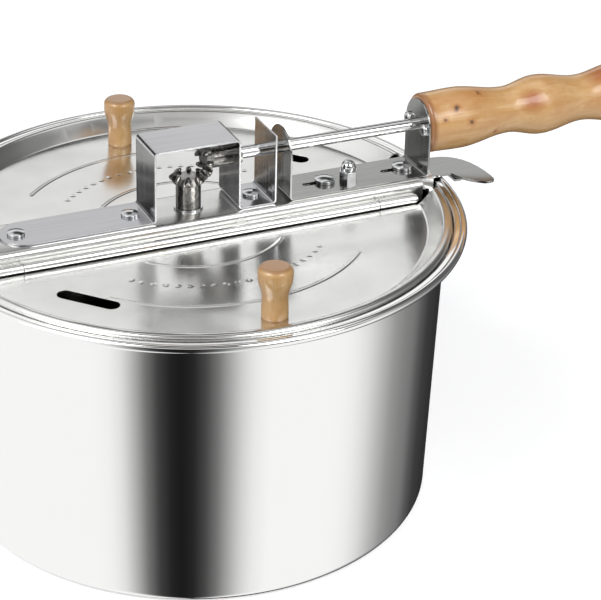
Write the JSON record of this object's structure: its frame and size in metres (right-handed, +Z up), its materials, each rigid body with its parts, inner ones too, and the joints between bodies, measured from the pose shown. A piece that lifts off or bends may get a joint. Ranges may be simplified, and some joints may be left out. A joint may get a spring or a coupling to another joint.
{
  "type": "stovetop popcorn maker",
  "caption": "Stovetop popcorn maker: drawn steel pot with a hooked lid frame, hinged half lids, hand crank through a wooden handle, bevel gears and stirrer.",
  "frame": {"origin": "centre of the pot's base, on the surface it stands on", "axes": "+X towards the handle, +Z up, +Y to the back lid"},
  "size_m": [0.4645, 0.262, 0.1836],
  "materials": {
    "pot_steel": "mirror-polished stainless steel",
    "lid_steel": "bright-rolled stainless steel, soft mirror",
    "bar_steel": "bright stainless steel",
    "bracket_steel": "brushed stainless steel",
    "bright_plate": "bright zinc or chrome plate",
    "gear_casting": "polished die casting",
    "rod_steel": "polished steel rod",
    "spring_steel": "dark spring steel",
    "bush_brass": "plain turned brass",
    "handle_wood": "turned, clear varnished",
    "knob_wood": "turned, clear varnished"
  },
  "bodies": {
    "pot": {"pot": "pot_steel"},
    "lid_frame": {"crossbar": "bar_steel", "front_hinge_pin": "rod_steel", "back_hinge_pin": "rod_steel", "gear_bracket": "bracket_steel", "handle_bracket": "bracket_steel", "bracket_rivets": "bright_plate", "acorn_nut": "bright_plate", "nut_stud": "bright_plate", "handle_grip": "handle_wood", "handle_screws": "bright_plate", "handle_end_washer": "bright_plate", "stirrer_bush": "bush_brass", "thrust_washer": "bright_plate"},
    "front_lid": {"front_lid": "lid_steel", "front_lid_knob": "knob_wood", "front_knob_screw": "bright_plate"},
    "back_lid": {"back_lid": "lid_steel", "back_lid_knob": "knob_wood", "back_knob_screw": "bright_plate"},
    "latch": {"latch_lever": "bar_steel", "latch_buttons": "bright_plate"},
    "crank": {"crank_rod": "rod_steel", "drive_gear": "gear_casting", "drive_gear_pin": "spring_steel", "crank_knob_cap": "bright_plate"},
    "crank_knob": {"crank_knob": "knob_wood"},
    "stirrer": {"stirrer_gear": "gear_casting", "stirrer_gear_pin": "spring_steel", "stirrer_shaft": "rod_steel", "shaft_clip": "spring_steel", "stirrer_arms": "rod_steel", "arm_hub_pin": "spring_steel"}
  },
  "joints": [
    {"name": "lid_tilt", "type": "hinge", "parent": "pot", "child": "lid_frame", "pos_m": [-0.129, 0, 0.14], "axis": [0, -1, 0], "range_deg": [0, 35]},
    {"name": "front_lid_hinge", "type": "hinge", "parent": "lid_frame", "child": "front_lid", "pos_m": [0, -0.019, 0.1377], "axis": [-1, 0, 0], "range_deg": [0, 85]},
    {"name": "back_lid_hinge", "type": "hinge", "parent": "lid_frame", "child": "back_lid", "pos_m": [0, 0.019, 0.1377], "axis": [1, 0, 0], "range_deg": [0, 85]},
    {"name": "latch_slide", "type": "slide", "parent": "lid_frame", "child": "latch", "axis": [1, 0, 0], "range_m": [-0.01, 0]},
    {"name": "crank_spin", "type": "hinge", "parent": "lid_frame", "child": "crank", "pos_m": [0.1, 0, 0.1684], "axis": [1, 0, 0], "continuous": true},
    {"name": "crank_knob_spin", "type": "hinge", "parent": "crank", "child": "crank_knob", "pos_m": [0.313, 0, 0.1064], "axis": [1, 0, 0], "continuous": true},
    {"name": "stirrer_spin", "type": "hinge", "parent": "lid_frame", "child": "stirrer", "pos_m": [-0.0013, 0, 0.08], "axis": [0, 0, 1], "continuous": true}
  ],
  "couplings": [
    {"joint": "stirrer_spin", "follows": "crank_spin", "ratio": 1}
  ]
}
